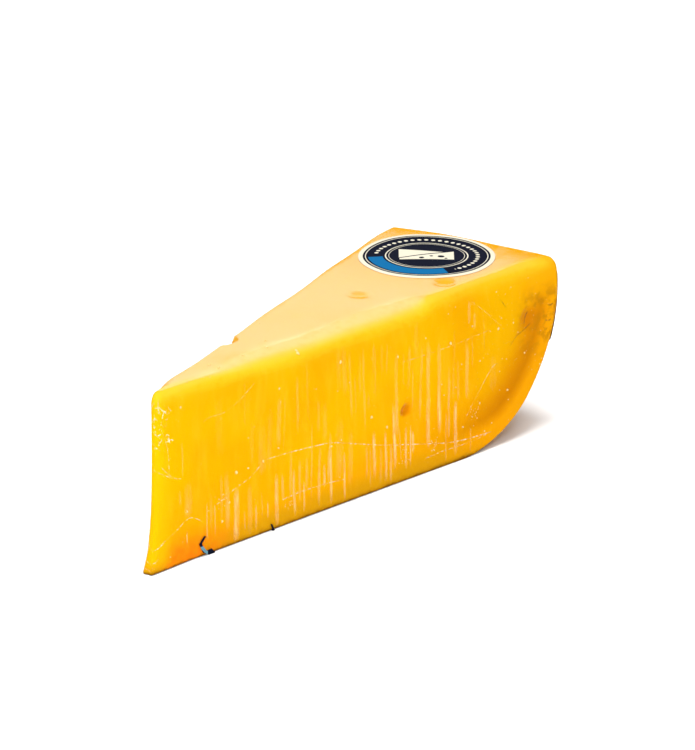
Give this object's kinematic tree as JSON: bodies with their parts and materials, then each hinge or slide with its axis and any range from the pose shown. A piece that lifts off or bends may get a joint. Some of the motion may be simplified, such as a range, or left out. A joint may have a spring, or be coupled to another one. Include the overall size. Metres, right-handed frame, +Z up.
{
  "type": "gouda cheese wedge",
  "caption": "Tall thin wedge of aged gouda with a rounded rind end, shrink-wrapped in clear film, with a round sticker on its flat cut top.",
  "frame": {"origin": "middle of the footprint's box, on the surface that the wedge stands on", "axes": "+X from the thin tip to the rind, +Z up, and -Y the front cut face"},
  "size_m": [0.1826, 0.0604, 0.0562],
  "materials": {
    "cheese": "golden yellow cheese paste seen through tight glossy clear film",
    "label": "glossy printed paper, near-black blue with a cream border"
  },
  "bodies": {
    "root": {"cheese": "cheese", "top_label": "label", "rind_label": "label", "base_label": "label"}
  },
  "joints": []
}
